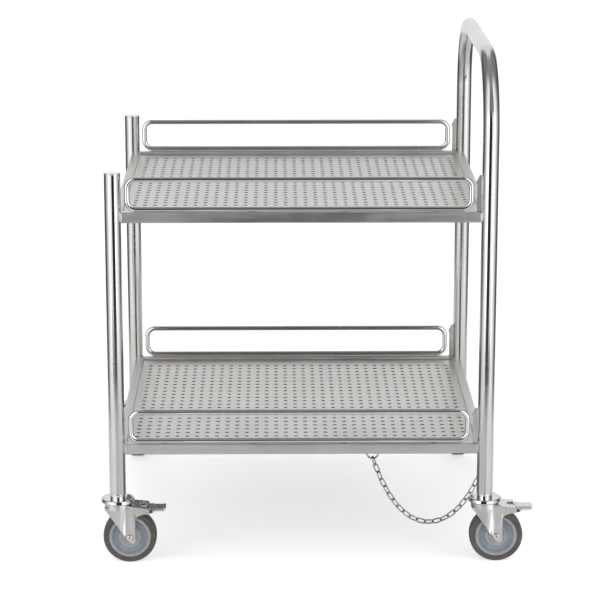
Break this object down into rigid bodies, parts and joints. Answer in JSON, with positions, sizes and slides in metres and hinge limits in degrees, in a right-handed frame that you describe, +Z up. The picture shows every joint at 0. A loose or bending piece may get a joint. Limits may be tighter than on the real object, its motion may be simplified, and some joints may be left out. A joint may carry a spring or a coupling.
{
  "type": "wafer box transport cart",
  "caption": "Stainless steel shelf trolley with perforated pan trays, rod guard rails, a raised tube push handle, braked swivel casters and a hanging earthing chain",
  "frame": {"origin": "on the floor, at the middle of the footprint of the box that holds the whole cart, with its front casters trailing towards the push handle and its back casters away from the chain's side", "axes": "+Z up, +X towards the push handle, +Y towards the long side away from the earthing chain"},
  "size_m": [0.8068, 0.7608, 0.957],
  "materials": {
    "polished_tube": "polished stainless steel tube with a fine lengthwise grain",
    "satin_sheet": "satin stainless steel sheet, warm grey",
    "polished_rod": "polished stainless steel rod and small polished parts",
    "pressed_steel": "pressed stainless steel plate, satin",
    "brake_steel": "dull grey steel stamping",
    "chain_steel": "plain steel wire, lightly polished",
    "tyre_rubber": "grey conductive rubber, matt",
    "wheel_plastic": "blue-grey moulded plastic, matt"
  },
  "bodies": {
    "frame": {"front_left_post": "polished_tube", "back_left_post": "polished_tube", "push_handle": "polished_tube", "front_left_post_cap": "polished_rod", "back_left_post_cap": "polished_rod", "upper_tray": "satin_sheet", "lower_tray": "satin_sheet", "upper_front_rail": "polished_rod", "upper_front_stop": "pressed_steel", "upper_back_rail": "polished_rod", "upper_back_stop": "pressed_steel", "lower_front_rail": "polished_rod", "lower_front_stop": "pressed_steel", "lower_back_rail": "polished_rod", "lower_back_stop": "pressed_steel", "chain_lug": "pressed_steel", "chain_ring": "chain_steel", "chain_hook": "pressed_steel", "earthing_chain": "chain_steel", "front_left_stem": "polished_rod", "front_left_swivel_cap": "polished_rod", "front_right_stem": "polished_rod", "front_right_swivel_cap": "polished_rod", "back_left_stem": "polished_rod", "back_left_swivel_cap": "polished_rod", "back_right_stem": "polished_rod", "back_right_swivel_cap": "polished_rod"},
    "front_left_fork": {"front_left_fork": "pressed_steel", "front_left_brake_plate": "brake_steel", "front_left_pedal_pin": "polished_rod", "front_left_axle_bolt": "polished_rod", "front_left_axle_nut": "polished_rod"},
    "front_left_wheel": {"front_left_wheel_core": "wheel_plastic", "front_left_tyre": "tyre_rubber"},
    "front_left_pedal": {"front_left_brake_pedal": "brake_steel"},
    "front_right_fork": {"front_right_fork": "pressed_steel", "front_right_brake_plate": "brake_steel", "front_right_pedal_pin": "polished_rod", "front_right_axle_bolt": "polished_rod", "front_right_axle_nut": "polished_rod"},
    "front_right_wheel": {"front_right_wheel_core": "wheel_plastic", "front_right_tyre": "tyre_rubber"},
    "front_right_pedal": {"front_right_brake_pedal": "brake_steel"},
    "back_left_fork": {"back_left_fork": "pressed_steel", "back_left_brake_plate": "brake_steel", "back_left_pedal_pin": "polished_rod", "back_left_axle_bolt": "polished_rod", "back_left_axle_nut": "polished_rod"},
    "back_left_wheel": {"back_left_wheel_core": "wheel_plastic", "back_left_tyre": "tyre_rubber"},
    "back_left_pedal": {"back_left_brake_pedal": "brake_steel"},
    "back_right_fork": {"back_right_fork": "pressed_steel", "back_right_brake_plate": "brake_steel", "back_right_pedal_pin": "polished_rod", "back_right_axle_bolt": "polished_rod", "back_right_axle_nut": "polished_rod"},
    "back_right_wheel": {"back_right_wheel_core": "wheel_plastic", "back_right_tyre": "tyre_rubber"},
    "back_right_pedal": {"back_right_brake_pedal": "brake_steel"}
  },
  "joints": [
    {"name": "front_left_swivel", "type": "hinge", "parent": "frame", "child": "front_left_fork", "pos_m": [-0.37212, -0.34913, 0.1085], "axis": [0, 0, 1], "continuous": true},
    {"name": "front_left_wheel_spin", "type": "hinge", "parent": "front_left_fork", "child": "front_left_wheel", "pos_m": [-0.35013, -0.34913, 0.05], "axis": [0, 1, 0], "continuous": true},
    {"name": "front_left_brake_pedal", "type": "hinge", "parent": "front_left_fork", "child": "front_left_pedal", "pos_m": [-0.31012, -0.34913, 0.1019], "axis": [0, 1, 0], "range_deg": [0, 18]},
    {"name": "front_right_swivel", "type": "hinge", "parent": "frame", "child": "front_right_fork", "pos_m": [0.31388, -0.34913, 0.1085], "axis": [0, 0, 1], "continuous": true},
    {"name": "front_right_wheel_spin", "type": "hinge", "parent": "front_right_fork", "child": "front_right_wheel", "pos_m": [0.33587, -0.34913, 0.05], "axis": [0, 1, 0], "continuous": true},
    {"name": "front_right_brake_pedal", "type": "hinge", "parent": "front_right_fork", "child": "front_right_pedal", "pos_m": [0.37588, -0.34913, 0.1019], "axis": [0, 1, 0], "range_deg": [0, 18]},
    {"name": "back_left_swivel", "type": "hinge", "parent": "frame", "child": "back_left_fork", "pos_m": [-0.37212, 0.29087, 0.1085], "axis": [0, 0, 1], "continuous": true},
    {"name": "back_left_wheel_spin", "type": "hinge", "parent": "back_left_fork", "child": "back_left_wheel", "pos_m": [-0.37212, 0.31288, 0.05], "axis": [-1, 0, 0], "continuous": true},
    {"name": "back_left_brake_pedal", "type": "hinge", "parent": "back_left_fork", "child": "back_left_pedal", "pos_m": [-0.37212, 0.35287, 0.1019], "axis": [-1, 0, 0], "range_deg": [0, 18]},
    {"name": "back_right_swivel", "type": "hinge", "parent": "frame", "child": "back_right_fork", "pos_m": [0.31388, 0.29087, 0.1085], "axis": [0, 0, 1], "continuous": true},
    {"name": "back_right_wheel_spin", "type": "hinge", "parent": "back_right_fork", "child": "back_right_wheel", "pos_m": [0.31388, 0.31288, 0.05], "axis": [-1, 0, 0], "continuous": true},
    {"name": "back_right_brake_pedal", "type": "hinge", "parent": "back_right_fork", "child": "back_right_pedal", "pos_m": [0.31388, 0.35287, 0.1019], "axis": [-1, 0, 0], "range_deg": [0, 18]}
  ]
}
